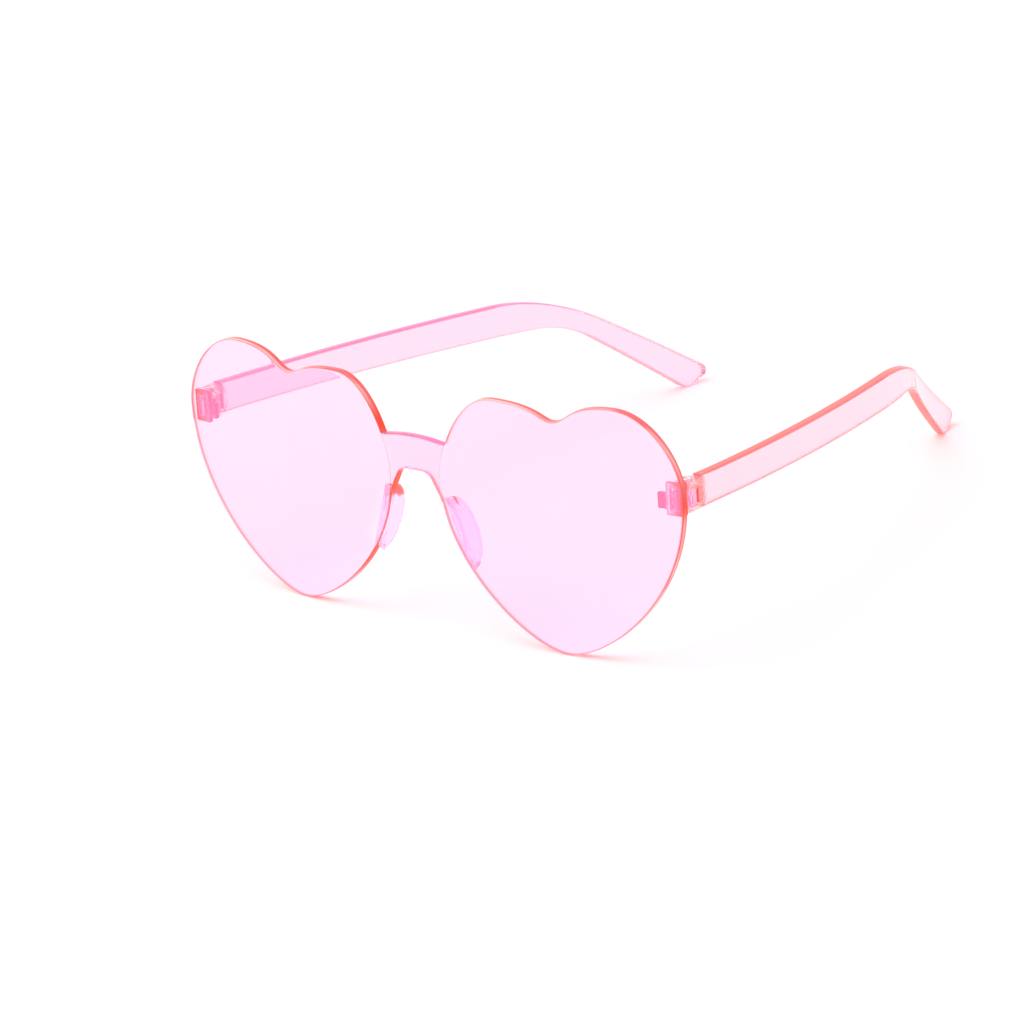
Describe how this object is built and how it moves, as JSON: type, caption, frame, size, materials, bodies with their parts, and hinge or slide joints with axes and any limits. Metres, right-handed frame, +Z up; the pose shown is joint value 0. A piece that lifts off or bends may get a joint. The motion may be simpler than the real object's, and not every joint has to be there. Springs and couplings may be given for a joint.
{
  "type": "heart shaped sunglasses",
  "caption": "Rimless heart shaped sunglasses with flat see-through pink lenses, a moulded bridge, nose pads and temples that fold on small screw hinges.",
  "frame": {"origin": "middle of the footprint on the table, in the plane that mirrors left to right", "axes": "+X to the wearer's left, +Y from the lenses back along the open temples, +Z up from the table"},
  "size_m": [0.14, 0.1498, 0.0579],
  "materials": {
    "lens_tint": "clear pink tint, polished",
    "bridge_tint": "clear pink tint, polished",
    "pad_tint": "clear lilac pink tint, polished",
    "hinge_tint": "clear pink tint, moulded",
    "temple_tint": "clear pink tint, polished",
    "screw_steel": "bright zinc plated"
  },
  "bodies": {
    "front": {"left_lens": "lens_tint", "right_lens": "lens_tint", "nose_bridge": "bridge_tint", "left_nose_pad": "pad_tint", "right_nose_pad": "pad_tint", "left_hinge_block": "hinge_tint", "right_hinge_block": "hinge_tint"},
    "left_temple": {"left_temple": "temple_tint", "left_hinge_screw": "screw_steel"},
    "right_temple": {"right_temple": "temple_tint", "right_hinge_screw": "screw_steel"}
  },
  "joints": [
    {"name": "left_temple_fold", "type": "hinge", "parent": "front", "child": "left_temple", "pos_m": [0.06731, -0.06414, 0.03918], "axis": [0, 0.0526, 0.9986], "range_deg": [0, 78]},
    {"name": "right_temple_fold", "type": "hinge", "parent": "front", "child": "right_temple", "pos_m": [-0.06731, -0.06414, 0.03918], "axis": [0, -0.0526, -0.9986], "range_deg": [0, 70]}
  ]
}
